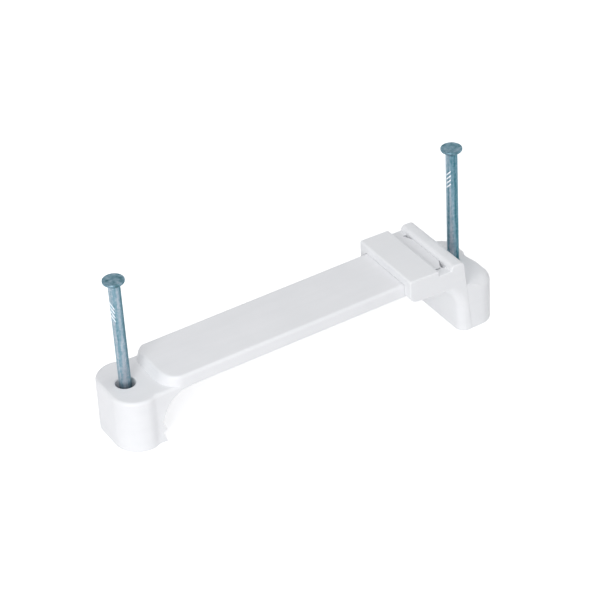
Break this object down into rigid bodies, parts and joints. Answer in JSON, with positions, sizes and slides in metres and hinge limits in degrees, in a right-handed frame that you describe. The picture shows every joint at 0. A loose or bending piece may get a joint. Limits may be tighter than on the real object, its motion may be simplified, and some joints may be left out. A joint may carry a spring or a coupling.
{
  "type": "nail in cable clip",
  "caption": "White plastic bridge clip nailed to a wall at both ends to hold a flat row of cables, with its strap caught in a buckle housing.",
  "frame": {"origin": "on the wall plane under the feet, midway between the two nails", "axes": "+X along the strap towards the housing, +Z away from the wall, Y across the strap"},
  "size_m": [0.0746, 0.0164, 0.0331],
  "materials": {
    "strap_plastic": "smooth moulded white",
    "housing_plastic": "smooth moulded white",
    "nail_steel": "zinc-plated drawn wire"
  },
  "bodies": {
    "root": {"strap": "strap_plastic", "housing": "housing_plastic", "left_nail": "nail_steel", "right_nail": "nail_steel"}
  },
  "joints": []
}
